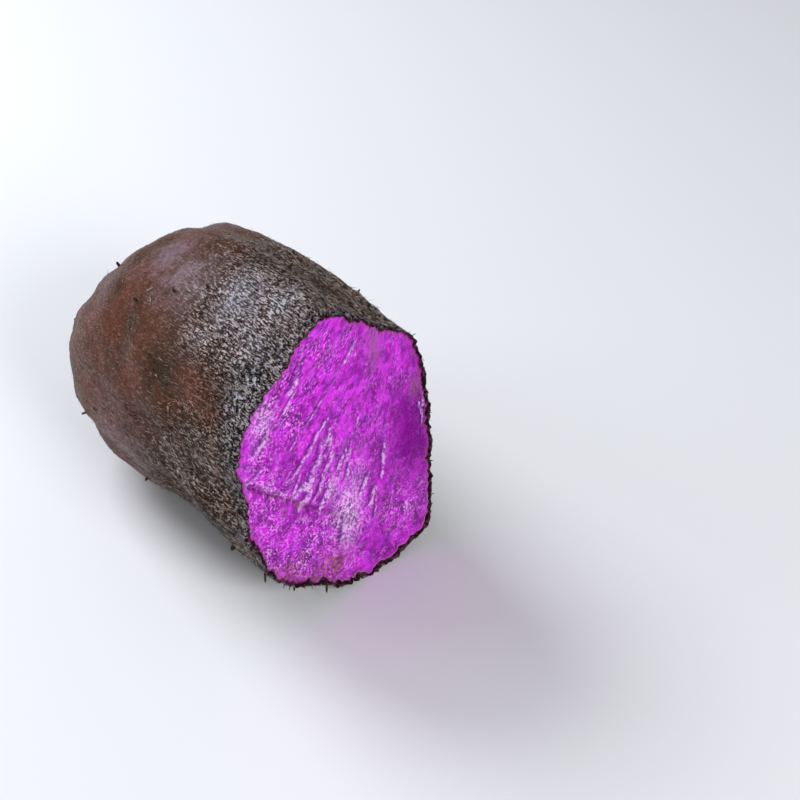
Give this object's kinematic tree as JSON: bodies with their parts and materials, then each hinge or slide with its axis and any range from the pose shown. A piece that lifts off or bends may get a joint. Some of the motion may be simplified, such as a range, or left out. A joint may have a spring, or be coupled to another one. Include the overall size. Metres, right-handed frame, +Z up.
{
  "type": "purple yam half",
  "caption": "Half of a purple yam lying on its side, with dark wrinkled skin, root scars and a vivid purple cut face. Food prop that rests on a small flat spot.",
  "frame": {"origin": "middle of the bounding box seen from above, at the height of the surface that the yam rests on", "axes": "+Y along the body, from the cut face towards the blunt grown end; the cut face looks towards -Y; +Z up; +X to the right seen from the cut face"},
  "size_m": [0.0868, 0.1174, 0.0907],
  "materials": {
    "skin": "damp, dark brown and grey bark-like skin",
    "flesh": "wet, vivid purple cut flesh"
  },
  "bodies": {
    "root": {"yam_half": "skin"}
  },
  "joints": []
}
